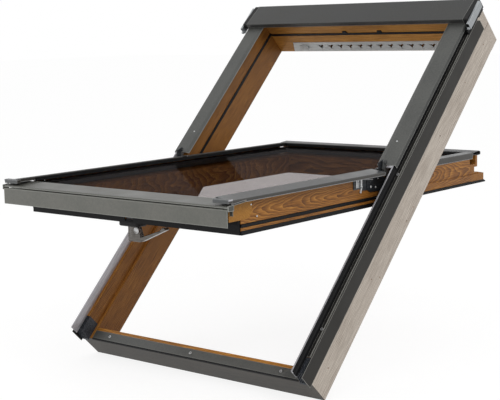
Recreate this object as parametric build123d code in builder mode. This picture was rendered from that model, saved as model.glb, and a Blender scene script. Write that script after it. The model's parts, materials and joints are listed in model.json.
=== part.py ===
from build123d import *
from math import cos, radians, sin
import os

os.makedirs("parts", exist_ok=True)

# Main sizes of the window, in millimetres and degrees
frame_width = 780.0
frame_length = 1180.0
frame_depth = 118.0
roof_pitch = 45.0
sheet = 1.2
bend = 2.0
seat_gap = 0.3

# Timber frame profile
stile_width = 38.0
riser_step = 9.0
ledge_out = 78.0
head_thick = 41.0
sill_thick = 36.0
wood_round = 1.5
block_end = 46.0
pilot_radius = 1.9
pilot_sides = 8
pilot_deep = 8.0
pilot_holes = ((64, 44), (325, 42), (351, 14), (528, 15), (573, 15), (790, 43), (978, 45), (1119, 45))
pivot_offset = 16.0
pivot_proud = 37.0

# Gasket groove of the upper half of the frame
groove_low = 73.0
groove_width = 10.0
groove_depth = 5.0
head_groove_drop = 4.0
seal_proud = 1.2
seal_start_gap = 1.0

# Metal on the sides of the frame
band_sheet = 1.0
band_bottom = 74.0
band_start = -10.0
band_rise = 11.0
band_chamfer = 12.0
strip_width = 14.5
lip_inset = 5.0
lip_height = 1.4
lip_half = 1.0
rib_inset = 18.5
rib_rise = 25.8
rib_foot_width = 3.5
hem_width = 3.0
hem_drop = 9.0
rib_end_gap = 4.0
rib_start = -10.0
rib_seal_rise = 3.0
rib_seal_length = 12.0
rib_seal_width = 3.4
rib_seal_slope = 2.0

# Sill profile, its gasket and the screws
profile_low = 3.5
profile_width = 24.0
profile_thick = 1.5
sill_seal_low = 72.0
sill_seal_slope = 1.0
screw_head = 7.5
screw_head_high = 1.8
screw_shank = 3.8
shank_sides = 8
screw_hole = 4.0
screw_long = 14.0
screw_play = 2.0
sill_screw_inset = 60.0
band_screw_inset = 10.0
band_screw_low = 124.0
band_screw_drop = 10.0

# Covers over the upper half of the sides
cover_reach = 28.0
cover_bevel_width = 12.0
cover_bevel_drop = 1.8
cover_side_inset = 10.0
cover_flange = 11.0
cover_start_drop = 2.0
cover_tuck = 8.0

# Hood over the head
hood_reach = 39.0
hood_overhang = 6.0
hood_end_inset = 12.0
hood_rise_front = 44.0
hood_rise_back = 36.0
hood_front_rise = 29.0
hood_back_drop = 6.0
hood_cap_thick = 14.0
hood_cap_rise = 4.0
hood_cap_edge = 2.5
cap_play = 1.0
flange_stand = 9.0
flange_below = 51.0
flange_length = 87.0
flange_rise = 17.0
flange_height = 21.5

# Corner pieces at the sill
corner_start = -6.0
corner_drop = 2.0
corner_base = 4.0
corner_slope = 10.0
rib_count = 6
rib_thick = 1.8

# Ventilation strip on the head
vent_inset = 54.0
vent_low = 3.0
vent_width = 38.0
vent_thick = 1.5
vent_slant = 14.0
vent_pocket_inset = 8.0
vent_pocket_margin = 5.0
vent_pocket_deep = 20.0
vent_pitch = 36.0
vent_margin = 45.0
vent_first_gap = 64.0
vent_hole_out = 23.0
lobe_radius = 3.1
lobe_reach = 10.0
lobe_sides = 12
shutter_inset = 36.0
shutter_thick = 1.6
shutter_travel = 18.0
shutter_play = 2.0
shutter_hole = 16.0
knob_inset = 49.0
knob_out = 22.0
knob_stem = 14.0
knob_stem_high = 5.0
stem_play = 2.0
stem_round = 1.0
knob_head = 30.0
knob_head_high = 15.0
knob_proud = 5.5
knob_round = 5.0

# Sash: heights are measured out from its room-side face
sash_rear_out = 47.0
sash_side_gap = 7.0
sash_sill_gap = 7.0
sash_head_gap = 17.0
sash_timber = 60.0
rear_lip_step = 6.0
rear_lip_high = 7.0
sash_top_face = 80.0
rebate_wall = 10.0
seal_groove_low = 15.0
seal_groove_high = 24.0
seal_groove_deep = 5.0
flange_width = 4.0
flange_bottom = 8.5
flange_top = 28.0
half_change = 40.0
seal_end_gap = 2.0
sash_seal_foot = 0.5
sash_seal_proud = 2.0
sash_seal_edge = 1.0
lip_seal_low = -1.0
lip_seal_high = 8.5
lip_seal_proud = 2.0
flange_seal_low = 1.0
flange_seal_proud = 0.8
top_seal_reach = 11.0
top_seal_edge = 3.0
bottom_seal_out = 6.0
bottom_seal_middle = 22.0
bottom_seal_high = 32.0
rail_low_width = 58.0
rail_low_nose = 37.0
rail_rebate_nose = 9.0
rail_joint = 41.0
rail_joint_low = 36.0
rail_joint_round = 22.0
nose_under_front = 41.0
nose_under_back = 33.0
rail_top_lip_step = 11.0
rail_top_flange_step = 29.0
rail_notch_deep = 17.0
rail_notch_low = 33.0
rail_notch_high = 48.0
rail_top_joint = 42.0

# Glazing
pane_thick = 4.0
unit_thick = 24.0
unit_gap = 3.0
spacer_inset = 3.0
spacer_width = 11.0
glazing_seal_rise = 8.0
glazing_seal_width = 12.0
glazing_lip = 3.0
glazing_foot = 2.0

# Metal on the sash
low_cover_end = -22.0
low_cover_gap = 2.5
low_cover_top = 91.5
low_cover_fold = 85.5
low_cover_drop = 77.0
low_cover_setback = 14.0
low_cover_clear = 1.6
high_cover_top = 91.5
high_cover_fold = 89.0
high_cover_drop = 72.0
top_cover_setback = 13.0
top_cover_ridge_inset = 9.0
top_cover_overlap = 15.0
top_cover_fall = 2.0
top_cover_rise = 1.0
top_cover_foot = 1.0
cover_lip = 1.0
seal_cover_gap = 2.0
high_cover_gap = 3.0
top_cover_high = 91.5
top_cover_drop = 81.0
cap_start_high = 79.0
cap_reach = 35.0
cap_end_high = 73.5
cap_drop = 69.5
cap_gap = 0.5
apron_inset = 2.0
apron_top = 66.0
apron_bottom = 27.0
apron_notch_gap = 6.0
apron_tail = 6.0
clip_long = 17.0
clip_thick = 2.0
clip_margin = 3.0

# Hinges
pin_radius = 3.0
pin_fit = 0.05
pin_rivet = 3.0
pin_head = 2.0
boss_radius = 6.0
plate_thick = 3.0
boss_proud = 1.2
bracket_proud = 2.0
bracket_thick = 4.0
plate_low = -73.0
plate_high = 36.0
plate_bottom = 37.0
plate_top = 72.0
arm_low = -20.0
arm_high = -4.0
arm_drop = 12.0
plate_corner = 8.0
plate_slope = 14.0
block_low = -66.0
block_high = -3.0
block_rise = 6.0
block_drop = 2.0
neck_low = -19.0
neck_drop = 4.0
brake_low = -131.0
brake_high = -95.0
brake_bottom = 50.0
brake_top = 76.0
brake_ridges = 5
brake_thick = 1.6
brake_proud = 3.4
brake_margin = 4.0

# Handle and latch
handle_setback = 29.0
handle_across = -13.0
base_left = -52.0
base_right = 14.0
base_width = 34.0
base_round = 7.0
base_edge = 2.5
base_thick = 14.0
handle_boss = 11.0
handle_drop = 51.0
heel_half = 16.0
heel_thick = 12.0
heel_round = 3.0
knee_across = 12.0
knee_round = 30.0
grip_width = 15.0
tip_across = 95.0
tip_low = 15.0
tip_high = 9.5
tip_width = 11.0
tip_slope = 8.0
tip_round = 2.0
grip_edge = 1.0
bolt_half = 12.0
bolt_low = 8.0
bolt_high = 18.0
bolt_long = 22.0
bolt_gap = 0.3
bolt_setback = 0.5
keeper_half = 24.0
keeper_thick = 1.5
keeper_margin = 6.0
keeper_play = 2.0
keeper_pocket = 8.0

# Clips on the head
clip_left_at = -68.0
clip_right_at = 56.0
clip_width = 14.0
clip_high = 8.0
clip_proud = 3.0

# Frame places across the window
frame_half = frame_width / 2
wood_half = frame_half - band_sheet
stile_inner = frame_half - stile_width
riser_inner = stile_inner + riser_step
strip_inner = frame_half - strip_width
lip_middle = frame_half - lip_inset
rib_inner = frame_half - rib_inset
rib_foot = rib_inner + rib_foot_width
sill_screw_across = stile_inner - sill_screw_inset
band_screw_across = frame_half - band_screw_inset
cover_inner = stile_inner - cover_reach
cover_bevel = cover_inner + cover_bevel_width
cover_outer = frame_half - cover_side_inset
flange_plate = frame_half + flange_stand
hood_half = frame_half - hood_end_inset
hood_cap_outer = hood_half + hood_cap_thick
vent_half = stile_inner - vent_inset
vent_pocket_half = vent_half - vent_pocket_inset
shutter_half = vent_half - shutter_inset
knob_at = knob_inset - vent_half
vent_first = knob_at + vent_first_gap
vent_count = int((vent_half - vent_margin - vent_first) / vent_pitch) + 1

# Frame places up the slope
head_inner = frame_length - head_thick
sill_inner = sill_thick
sill_middle = sill_thick / 2
pivot_along = frame_length / 2 + pivot_offset
band_end = head_inner + band_rise
hood_front = head_inner - hood_reach
hood_back = frame_length + hood_overhang
cover_start = pivot_along - cover_start_drop
cover_end = hood_front + cover_tuck
rib_end = hood_front - rib_end_gap
flange_start = head_inner - flange_below
flange_end = flange_start + flange_length
band_screw_high = pivot_along - band_screw_drop
profile_high = profile_low + profile_width
sill_screw_along = (profile_low + profile_high) / 2
vent_face = head_inner - vent_thick

# Frame places out from the room
pivot_out = frame_depth + pivot_proud
groove_high = groove_low + groove_width
head_groove_low = groove_low - head_groove_drop
head_groove_high = groove_high - head_groove_drop
rib_top = frame_depth + rib_rise
rib_seal_low = frame_depth + rib_seal_rise
rib_seal_high = rib_seal_low + rib_seal_length
cover_top = rib_top + sheet
band_top = frame_depth + band_sheet
cover_bevel_out = rib_top - cover_bevel_drop
cover_flange_out = cover_top - cover_flange
hood_top_front = frame_depth + hood_rise_front
hood_top_back = frame_depth + hood_rise_back
hood_front_low = frame_depth + hood_front_rise
hood_back_low = frame_depth - hood_back_drop
hood_cap_low = frame_depth + hood_cap_rise
flange_low = frame_depth + flange_rise
flange_high = flange_low + flange_height
corner_low = ledge_out
corner_top = frame_depth - corner_drop
vent_high = vent_low + vent_width
vent_pocket_low = vent_low + vent_pocket_margin
vent_pocket_high = vent_high - vent_pocket_margin
keeper_slot_low = sash_rear_out + bolt_low - keeper_play
keeper_slot_high = sash_rear_out + bolt_high + keeper_play
keeper_low = keeper_slot_low - keeper_margin
keeper_high = keeper_slot_high + keeper_margin
keeper_slot_half = bolt_half + keeper_play

# Sash places across the window
sash_half = stile_inner - sash_side_gap
sash_inner = sash_half - sash_timber
rear_lip_half = sash_half - rear_lip_step
bottom_seal_half = sash_half - lip_seal_proud
rebate_half = sash_half - rebate_wall
flange_half = sash_half + flange_width
unit_half = rebate_half - unit_gap
glazing_seal_outer = unit_half + glazing_foot / 2
glazing_seal_inner = glazing_seal_outer - glazing_seal_width
glazing_seal_step = glazing_seal_inner + glazing_lip
low_cover_outer = rib_inner - low_cover_gap
high_cover_outer = sash_half + sheet
cap_half = rib_inner - cap_gap
apron_half = cap_half - apron_inset
apron_notch = riser_inner - apron_notch_gap
plate_inner = sash_half
plate_outer = plate_inner + plate_thick
boss_outer = plate_outer + boss_proud
bracket_inner = stile_inner - bracket_proud
bracket_outer = bracket_inner + bracket_thick
pin_outer = bracket_outer + pin_rivet

# Sash places along the window, from the pivot
rail_low_end = sill_inner + sash_sill_gap - pivot_along
rail_low_inner = rail_low_end + rail_low_width
rail_low_rebate = rail_low_end - rail_rebate_nose
nose_end = rail_low_end - rail_low_nose
stile_low_end = rail_low_end + rail_joint
rail_top_flange = head_inner - sash_head_gap - pivot_along
rail_top_lip = rail_top_flange - rail_top_lip_step
rail_top_outer = rail_top_flange - rail_top_flange_step
rail_top_rebate = rail_top_outer - rebate_wall
rail_notch = rail_top_outer - rail_notch_deep
rail_top_inner = rail_top_outer - sash_timber
stile_high_end = rail_top_outer - rail_top_joint
cap_start = rail_low_rebate - cover_lip
cap_end = nose_end - cap_reach
unit_low = rail_low_rebate + glazing_foot
unit_high = rail_top_rebate - unit_gap
low_cover_start = cap_end + low_cover_setback
top_cover_outer = rail_top_flange - top_cover_setback
top_cover_ridge = top_cover_outer - top_cover_ridge_inset
top_cover_inner = rail_top_rebate - top_cover_overlap
top_cover_lip = top_cover_inner + cover_lip
seal_end = top_cover_inner - seal_cover_gap
high_cover_end = top_cover_inner - high_cover_gap
handle_along = rail_low_end + handle_setback
neck_high = cover_start - cover_start_drop
bracket_low = pivot_along + block_low
bracket_high = pivot_along + block_high
neck_start = pivot_along + neck_low

# Sash heights
sash_below_pivot = pivot_out - sash_rear_out
pane_low = sash_top_face - unit_thick
rebate_floor = pane_low
glazing_seal_high = sash_top_face + glazing_seal_rise
glazing_foot_high = sash_top_face + glazing_foot
block_bottom = ledge_out + block_rise
block_top = frame_depth - block_drop
neck_top = pivot_out - neck_drop

# Directions of the roof slope
slope_cos = cos(radians(roof_pitch))
slope_sin = sin(radians(roof_pitch))
slope_up = (0, slope_cos, slope_sin)
slope_down = (0, -slope_cos, -slope_sin)
slope_out = (0, -slope_sin, slope_cos)
pivot_y = (pivot_along - sill_middle) * slope_cos - pivot_out * slope_sin
pivot_z = (pivot_along - sill_middle) * slope_sin + pivot_out * slope_cos


# A point of the fixed frame: across, up the slope from the sill's end, out from the room-side face
def frame_point(across, along, out):
    return (
        across,
        (along - sill_middle) * slope_cos - out * slope_sin,
        (along - sill_middle) * slope_sin + out * slope_cos,
    )


# A point of the sash at rest: across, away from the pivot, out from its room-side face
def sash_point(across, along, height):
    return (across, pivot_y + along, pivot_z + height - sash_below_pivot)


# Sketch planes of the frame: cross section, section seen from the side, and face
def frame_cross(along):
    return Plane(origin=frame_point(0, along, 0), x_dir=(1, 0, 0), z_dir=slope_down)


def frame_side(across):
    return Plane(origin=frame_point(across, 0, 0), x_dir=slope_up, z_dir=(1, 0, 0))


def frame_face(out):
    return Plane(origin=frame_point(0, 0, out), x_dir=(1, 0, 0), z_dir=slope_out)


# Looking up the slope at the head's room-side edge: across and out, growing up the slope
def frame_end(along):
    return Plane(origin=frame_point(0, along, 0), x_dir=(-1, 0, 0), z_dir=slope_up)


# Sketch planes of the sash
def sash_cross(along):
    return Plane(origin=sash_point(0, along, 0), x_dir=(1, 0, 0), z_dir=(0, -1, 0))


def sash_side(across):
    return Plane(origin=sash_point(across, 0, 0), x_dir=(0, 1, 0), z_dir=(1, 0, 0))


def sash_face(height):
    return Plane(origin=sash_point(0, 0, height), x_dir=(1, 0, 0), z_dir=(0, 0, 1))


# Corner radii of a timber outline: outer corners rounded, inner corners sharp
def corner_radii(outline):
    turns = []
    for here in range(len(outline)):
        before = outline[here - 1]
        corner = outline[here]
        after = outline[(here + 1) % len(outline)]
        turns.append(
            (corner[0] - before[0]) * (after[1] - corner[1])
            - (corner[1] - before[1]) * (after[0] - corner[0])
        )
    winding = 1
    if sum(turn > 0 for turn in turns) < len(turns) / 2:
        winding = -1
    return [wood_round if turn * winding > 0 else 0 for turn in turns]


# A planed timber with rounded edges
def timber(plane, outline, length):
    with BuildPart() as piece:
        with BuildSketch(plane):
            with BuildLine():
                FilletPolyline(*outline, radius=corner_radii(outline), close=True)
            make_face()
        extrude(amount=length)
    return piece


# A straight bar with a closed outline
def bar(plane, outline, length):
    with BuildPart() as piece:
        with BuildSketch(plane):
            with BuildLine():
                Polyline(*outline, close=True)
            make_face()
        extrude(amount=length)
    return piece


# A bent sheet that follows an open path
def bent_sheet(plane, path, length, side=Side.RIGHT, thickness=sheet):
    with BuildPart() as piece:
        with BuildSketch(plane):
            with BuildLine():
                FilletPolyline(*path, radius=bend)
                offset(amount=thickness, side=side)
            make_face()
        extrude(amount=length)
    return piece


# The same piece on the other side of the window
def mirrored(piece):
    with BuildPart() as other:
        mirror(piece.part, about=Plane.YZ)
    return other


def save(piece, name):
    piece.part.label = name
    export_step(piece.part, "parts/" + name + ".step")


def save_pair(piece, name):
    save(mirrored(piece), name + "_left")
    save(piece, name + "_right")


# Pieces of one kind that share a node
def save_group(name, *pieces):
    with BuildPart() as group:
        for piece in pieces:
            add(piece.part)
    save(group, name)


# Timber sides of the frame: stepped below the pivot, plain with a gasket groove above it
stile_lower = timber(
    frame_cross(pivot_along),
    (
        (stile_inner, 0),
        (wood_half, 0),
        (wood_half, frame_depth),
        (riser_inner, frame_depth),
        (riser_inner, ledge_out),
        (stile_inner, ledge_out),
    ),
    pivot_along,
)
stile_upper = timber(
    frame_cross(head_inner),
    (
        (stile_inner, 0),
        (wood_half, 0),
        (wood_half, frame_depth),
        (stile_inner, frame_depth),
    ),
    head_inner - pivot_along,
)
with BuildPart() as frame_stile:
    add(stile_lower.part)
    add(stile_upper.part)
    with BuildSketch(frame_cross(head_inner)):
        with Locations((stile_inner, (groove_low + groove_high) / 2)):
            Rectangle(2 * groove_depth, groove_high - groove_low)
    extrude(amount=head_inner - pivot_along, mode=Mode.SUBTRACT)
    with BuildSketch(frame_face(corner_low)):
        with Locations((riser_inner, 0)):
            Rectangle(frame_half, block_end * 2)
    extrude(amount=frame_depth, mode=Mode.SUBTRACT)
    for screw_along in (band_screw_low, band_screw_high):
        with BuildSketch(frame_face(frame_depth)):
            with Locations((band_screw_across, screw_along)):
                Circle(screw_hole / 2)
        extrude(amount=-screw_long, mode=Mode.SUBTRACT)
    with BuildSketch(frame_side(wood_half)):
        for along, out in pilot_holes:
            with Locations((along, out)):
                RegularPolygon(pilot_radius, pilot_sides)
    extrude(amount=-pilot_deep, mode=Mode.SUBTRACT)
save_pair(frame_stile, "frame_stile")

# Head of the frame, with the groove for the gasket and the pocket behind the ventilation strip
head_bar = timber(
    frame_side(-wood_half),
    (
        (head_inner, 0),
        (frame_length, 0),
        (frame_length, frame_depth),
        (head_inner, frame_depth),
    ),
    2 * wood_half,
)
with BuildPart() as frame_head:
    add(head_bar.part)
    with BuildSketch(frame_side(-stile_inner)):
        with BuildLine():
            Polyline(
                (head_inner, head_groove_low),
                (head_inner + groove_depth, head_groove_low),
                (head_inner + groove_depth, head_groove_high),
                (head_inner, head_groove_high),
                close=True,
            )
        make_face()
    extrude(amount=2 * stile_inner, mode=Mode.SUBTRACT)
    with BuildSketch(frame_side(-vent_pocket_half)):
        with BuildLine():
            Polyline(
                (head_inner, vent_pocket_low),
                (head_inner + vent_pocket_deep, vent_pocket_low),
                (head_inner + vent_pocket_deep, vent_pocket_high),
                (head_inner, vent_pocket_high),
                close=True,
            )
        make_face()
    extrude(amount=2 * vent_pocket_half, mode=Mode.SUBTRACT)
save(frame_head, "frame_head")

# Sill of the frame, let in for the flat profile, its gasket and the keeper of the latch
with BuildPart() as frame_sill:
    with BuildSketch(frame_side(-stile_inner)):
        with BuildLine():
            Polyline(
                (0, 0),
                (sill_inner, 0),
                (sill_inner, ledge_out),
                (profile_high, ledge_out),
                (profile_high, ledge_out - profile_thick),
                (profile_low, ledge_out - profile_thick),
                (profile_low, sill_seal_low),
                (0, sill_seal_low),
                close=True,
            )
        make_face()
    extrude(amount=2 * stile_inner)
    with BuildSketch(frame_face(ledge_out)):
        with Locations(
            (-sill_screw_across, sill_screw_along),
            (0, sill_screw_along),
            (sill_screw_across, sill_screw_along),
        ):
            Circle(screw_hole / 2)
    extrude(amount=-screw_long - profile_thick, mode=Mode.SUBTRACT)
    with BuildSketch(frame_side(-keeper_half)):
        with BuildLine():
            Polyline(
                (sill_inner, keeper_low),
                (sill_inner, keeper_high),
                (sill_inner - keeper_thick, keeper_high),
                (sill_inner - keeper_thick, keeper_low),
                close=True,
            )
        make_face()
    extrude(amount=2 * keeper_half, mode=Mode.SUBTRACT)
    with BuildSketch(frame_side(-keeper_slot_half)):
        with BuildLine():
            Polyline(
                (sill_inner, keeper_slot_low),
                (sill_inner, keeper_slot_high),
                (sill_inner - keeper_pocket, keeper_slot_high),
                (sill_inner - keeper_pocket, keeper_slot_low),
                close=True,
            )
        make_face()
    extrude(amount=2 * keeper_slot_half, mode=Mode.SUBTRACT)
save(frame_sill, "frame_sill")

# Keeper plate of the latch, flush in the sill
with BuildPart() as strike_plate:
    with BuildSketch(frame_end(sill_inner - keeper_thick)):
        with Locations((0, (keeper_low + keeper_high) / 2)):
            Rectangle(2 * keeper_half, keeper_high - keeper_low)
        with Locations((0, (keeper_slot_low + keeper_slot_high) / 2)):
            Rectangle(
                2 * keeper_slot_half,
                keeper_slot_high - keeper_slot_low,
                mode=Mode.SUBTRACT,
            )
    extrude(amount=keeper_thick)
save(strike_plate, "strike_plate")

# Gaskets in the frame: a foot in the groove and a soft lip towards the sash
frame_seal = bar(
    frame_cross(head_inner),
    (
        (stile_inner + groove_depth, groove_low),
        (stile_inner + groove_depth, groove_high),
        (stile_inner - seal_proud, groove_high),
        (stile_inner, groove_low),
    ),
    head_inner - pivot_along - seal_start_gap,
)
seal_head = bar(
    frame_side(-stile_inner),
    (
        (head_inner + groove_depth, head_groove_low),
        (head_inner + groove_depth, head_groove_high),
        (head_inner - seal_proud, head_groove_high),
        (head_inner, head_groove_low),
    ),
    2 * stile_inner,
)
save_group("frame_seal", frame_seal, mirrored(frame_seal), seal_head)
sill_seal = bar(
    frame_side(-stile_inner),
    (
        (0, sill_seal_low),
        (profile_low, sill_seal_low),
        (profile_low, ledge_out),
        (0, ledge_out - sill_seal_slope),
    ),
    2 * stile_inner,
)
save(sill_seal, "sill_seal")

# Flat metal profile of the sill
with BuildPart() as sill_profile:
    with BuildSketch(frame_face(ledge_out)):
        with Locations((0, (profile_low + profile_high) / 2)):
            Rectangle(2 * stile_inner, profile_high - profile_low)
        with Locations(
            (-sill_screw_across, sill_screw_along),
            (0, sill_screw_along),
            (sill_screw_across, sill_screw_along),
        ):
            Circle(screw_hole / 2, mode=Mode.SUBTRACT)
    extrude(amount=-profile_thick)
save(sill_profile, "sill_profile")

# Dark metal angle on the flank and the front edge of each side, with a raised lip line
band_path = (
    (strip_inner, frame_depth),
    (strip_inner, band_top),
    (lip_middle - lip_half, band_top),
    (lip_middle, band_top + lip_height),
    (lip_middle + lip_half, band_top),
    (frame_half, band_top),
    (frame_half, band_bottom),
    (wood_half, band_bottom),
    (wood_half, frame_depth),
)
with BuildPart() as side_band:
    with BuildSketch(frame_cross(band_end)):
        with BuildLine():
            Polyline(*band_path, close=True)
        make_face()
    extrude(amount=band_end - band_start)
    with BuildSketch(frame_face(frame_depth)):
        with Locations(
            (band_screw_across, band_screw_low),
            (band_screw_across, band_screw_high),
        ):
            Circle(screw_hole / 2)
    extrude(amount=screw_head, both=True, mode=Mode.SUBTRACT)
    with BuildSketch(frame_face(corner_top)):
        with Locations((strip_inner, 0)):
            Rectangle(2 * (wood_half - strip_inner), 2 * block_end)
    extrude(amount=frame_depth, mode=Mode.SUBTRACT)
    with BuildSketch(frame_side(strip_inner)):
        with BuildLine():
            Polyline(
                (band_end - band_chamfer, band_top),
                (band_end - band_chamfer, band_top + 2 * lip_height),
                (band_end, band_top + 2 * lip_height),
                (band_end, band_top - band_chamfer),
                close=True,
            )
        make_face()
    extrude(amount=strip_width, mode=Mode.SUBTRACT)
save_pair(side_band, "side_band")

# Screws with round heads: three in the sill profile and two in each side band
with BuildPart() as profile_screws:
    for across, along, out in (
        (-sill_screw_across, sill_screw_along, ledge_out),
        (0, sill_screw_along, ledge_out),
        (sill_screw_across, sill_screw_along, ledge_out),
        (-band_screw_across, band_screw_low, band_top),
        (-band_screw_across, band_screw_high, band_top),
        (band_screw_across, band_screw_low, band_top),
        (band_screw_across, band_screw_high, band_top),
    ):
        with BuildSketch(frame_face(out)):
            with Locations((across, along)):
                Circle(screw_head / 2)
        extrude(amount=screw_head_high)
        with BuildSketch(frame_face(out)):
            with Locations((across, along)):
                RegularPolygon(screw_shank / 2, shank_sides)
        extrude(amount=screw_play - screw_long)
save(profile_screws, "profile_screws")

# Bright metal rib along each side, with a foot and a folded top
with BuildPart() as upstand:
    with BuildSketch(frame_cross(rib_end)):
        with BuildLine():
            Polyline(
                (rib_inner, frame_depth),
                (rib_foot, frame_depth),
                (rib_foot, frame_depth + sheet),
                (rib_inner + sheet, frame_depth + sheet),
                (rib_inner + sheet, rib_top - hem_drop),
                (rib_inner + hem_width, rib_top - hem_drop),
                (rib_inner + hem_width, rib_top),
                (rib_inner, rib_top),
                close=True,
            )
        make_face()
    extrude(amount=rib_end - rib_start)
save_pair(upstand, "upstand")
upstand_seal = bar(
    frame_cross(rib_end),
    (
        (rib_inner + sheet, rib_seal_low),
        (rib_inner + sheet + rib_seal_width, rib_seal_low + rib_seal_slope),
        (rib_inner + sheet + rib_seal_width, rib_seal_high - 2 * rib_seal_slope),
        (rib_inner + sheet, rib_seal_high),
    ),
    rib_end - rib_start,
)
save_pair(upstand_seal, "upstand_seal")

# Ribbed corner pieces where the sides meet the sill
with BuildPart() as corner_block:
    with BuildSketch(frame_face(corner_low)):
        with Locations(((riser_inner + wood_half) / 2, (corner_start + block_end) / 2)):
            Rectangle(wood_half - riser_inner, block_end - corner_start)
    extrude(amount=corner_base)
    rib_step = (wood_half - riser_inner - rib_thick) / (rib_count - 1)
    with BuildSketch(frame_face(corner_low)):
        for rib in range(rib_count):
            with Locations(
                (
                    riser_inner + rib_thick / 2 + rib * rib_step,
                    (corner_start + block_end) / 2,
                )
            ):
                Rectangle(rib_thick, block_end - corner_start)
    extrude(amount=corner_top - corner_low)
    with BuildSketch(frame_face(corner_low)):
        with Locations(((riser_inner + wood_half) / 2, block_end - rib_thick)):
            Rectangle(wood_half - riser_inner, 2 * rib_thick)
    extrude(amount=corner_top - corner_low)
    with BuildSketch(frame_side(riser_inner)):
        with BuildLine():
            Polyline(
                (corner_start, corner_low),
                (corner_start, corner_top),
                (corner_start + corner_slope, corner_top),
                close=True,
            )
        make_face()
    extrude(amount=wood_half - riser_inner, mode=Mode.SUBTRACT)
save_pair(corner_block, "corner_block")

# Sheet covers over the upper half of the sides
frame_cover = bent_sheet(
    frame_cross(cover_end),
    (
        (cover_inner, cover_bevel_out),
        (cover_bevel, cover_top),
        (cover_outer, cover_top),
        (cover_outer, cover_flange_out),
    ),
    cover_end - cover_start,
)
save_pair(frame_cover, "frame_cover")

# Hood over the head, open towards the roof, with a foot against the head
hood = bent_sheet(
    frame_side(-hood_half),
    (
        (hood_front, hood_front_low),
        (hood_front, hood_top_front),
        (hood_back, hood_top_back),
        (hood_back, hood_back_low),
        (frame_length, hood_back_low),
    ),
    2 * hood_half,
)
save(hood, "hood")
hood_cap = bar(
    frame_side(hood_half),
    (
        (cover_end + cap_play, hood_cap_low),
        (band_end + cap_play, hood_cap_low),
        (band_end + cap_play, frame_depth),
        (frame_length, frame_depth),
        (frame_length, hood_cap_low),
        (hood_back, hood_cap_low),
        (hood_back, hood_top_back - hood_cap_edge),
        (hood_back - hood_cap_edge, hood_top_back),
        (hood_front + hood_cap_edge, hood_top_front),
        (hood_front, hood_top_front - hood_cap_edge),
        (hood_front, hood_front_low),
        (cover_end + cap_play, hood_front_low),
    ),
    hood_cap_thick,
)
save_pair(hood_cap, "hood_cap")
hood_flange = bent_sheet(
    frame_cross(flange_end),
    (
        (hood_cap_outer, flange_low),
        (flange_plate, flange_low),
        (flange_plate, flange_high),
        (hood_cap_outer, flange_high),
    ),
    flange_end - flange_start,
    side=Side.LEFT,
)
save_pair(hood_flange, "hood_flange")

# Ventilation strip: metal plate with rows of three-lobed holes and a slot for the knob
with BuildPart() as vent_grille:
    with BuildSketch(frame_end(vent_face)):
        with BuildLine():
            Polyline(
                (vent_half, vent_low),
                (vent_half - vent_slant, vent_high),
                (-vent_half, vent_high),
                (-vent_half, vent_low),
                close=True,
            )
        make_face()
        with Locations((-knob_at - shutter_travel / 2, knob_out)):
            SlotOverall(
                knob_stem + shutter_travel + 2 * stem_play,
                knob_stem_high + stem_play,
                mode=Mode.SUBTRACT,
            )
        for hole in range(vent_count):
            across = vent_first + hole * vent_pitch
            with Locations((-across, vent_hole_out)):
                RegularPolygon(lobe_radius, lobe_sides, mode=Mode.SUBTRACT)
                with PolarLocations(lobe_reach / 2, 3, start_angle=-90):
                    Rectangle(lobe_reach, 2 * lobe_radius, mode=Mode.SUBTRACT)
                with PolarLocations(lobe_reach, 3, start_angle=-90):
                    RegularPolygon(lobe_radius, lobe_sides, mode=Mode.SUBTRACT)
    extrude(amount=vent_thick)
save(vent_grille, "vent_grille")

# Shutter behind the strip and the knob that moves it
with BuildPart() as vent_shutter:
    with BuildSketch(frame_end(head_inner)):
        with Locations((shutter_travel / 2, knob_out)):
            Rectangle(2 * shutter_half, vent_pocket_high - vent_pocket_low - shutter_play)
        for hole in range(vent_count):
            across = vent_first + hole * vent_pitch
            with Locations((-across, vent_hole_out)):
                Rectangle(shutter_hole, shutter_hole, mode=Mode.SUBTRACT)
    extrude(amount=shutter_thick)
save(vent_shutter, "vent_shutter")
with BuildPart() as vent_knob:
    with BuildSketch(frame_end(vent_face - knob_proud)):
        with Locations((-knob_at, knob_out)):
            RectangleRounded(knob_head, knob_head_high, knob_round)
    extrude(amount=knob_proud - seat_gap)
    with BuildSketch(frame_end(vent_face - knob_proud)):
        with Locations((-knob_at, knob_out)):
            RectangleRounded(knob_stem, knob_stem_high, stem_round)
    extrude(amount=knob_proud + vent_thick)
save(vent_knob, "vent_knob")

# Small clips on the head
with BuildPart() as head_clips:
    for across in (clip_left_at, clip_right_at):
        with BuildSketch(frame_end(head_inner)):
            with Locations((-across, head_groove_high + clip_high / 2)):
                Rectangle(clip_width, clip_high)
        extrude(amount=-clip_proud)
save(head_clips, "head_clips")

# Timber sides of the sash: gasket groove and plain flank below, flange above
sash_low = timber(
    sash_cross(half_change),
    (
        (sash_inner, 0),
        (rear_lip_half, 0),
        (rear_lip_half, rear_lip_high),
        (sash_half, rear_lip_high),
        (sash_half, sash_top_face),
        (rebate_half, sash_top_face),
        (rebate_half, rebate_floor),
        (sash_inner, rebate_floor),
    ),
    half_change - rail_low_end,
)
sash_high = timber(
    sash_cross(stile_high_end),
    (
        (sash_inner, 0),
        (rear_lip_half, 0),
        (rear_lip_half, flange_bottom),
        (flange_half, flange_bottom),
        (flange_half, flange_top),
        (sash_half, flange_top),
        (sash_half, sash_top_face),
        (rebate_half, sash_top_face),
        (rebate_half, rebate_floor),
        (sash_inner, rebate_floor),
    ),
    stile_high_end - half_change,
)
rail_tongue = (
    (rail_low_end, rail_joint_low),
    (stile_low_end, rail_joint_low),
    (stile_low_end, sash_top_face),
    (rail_low_end, sash_top_face),
)
tongue_radii = (0, rail_joint_round, 0, 0)
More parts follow.
